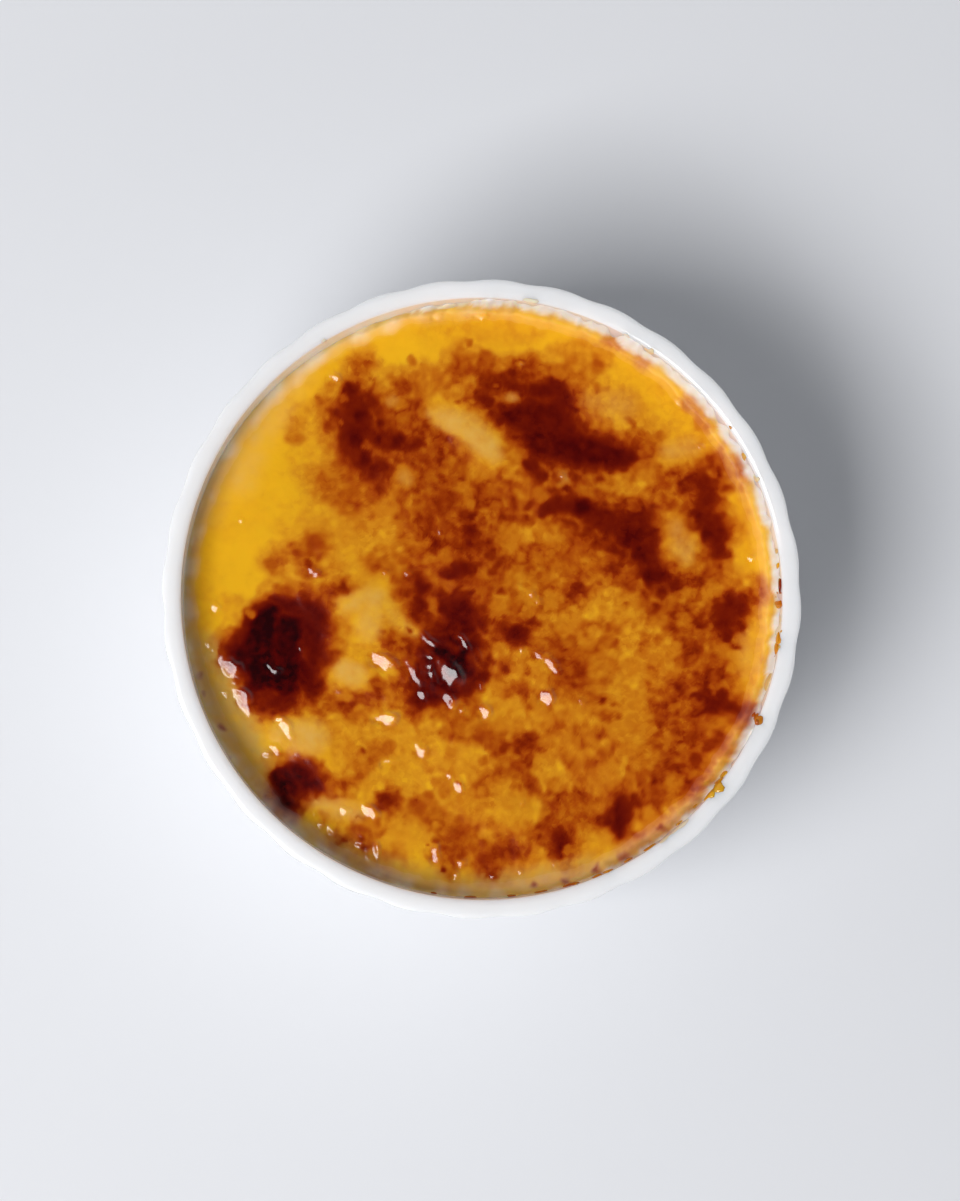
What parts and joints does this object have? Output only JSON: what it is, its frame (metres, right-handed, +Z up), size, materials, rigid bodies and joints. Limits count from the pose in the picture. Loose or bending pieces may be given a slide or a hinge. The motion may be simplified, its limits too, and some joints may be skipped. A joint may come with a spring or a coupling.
{
  "type": "crema catalana in a ramekin",
  "caption": "Set custard dessert with a burnt sugar top, filled to just under the rim of a round fluted white porcelain ramekin.",
  "frame": {"origin": "centre of the round foot, on the surface that the ramekin stands on", "axes": "+Z up along the ramekin's axis, +X to the right and +Y away as the dessert is seen from above with the two darkest burns at the lower left"},
  "size_m": [0.0898, 0.0898, 0.045],
  "materials": {
    "porcelain": "smooth clear-glazed white porcelain, bare on the foot ring",
    "custard": "yellow egg custard under a glossy burnt sugar skin, golden to dark brown"
  },
  "bodies": {
    "root": {"ramekin": "porcelain", "cream": "custard"}
  },
  "joints": []
}
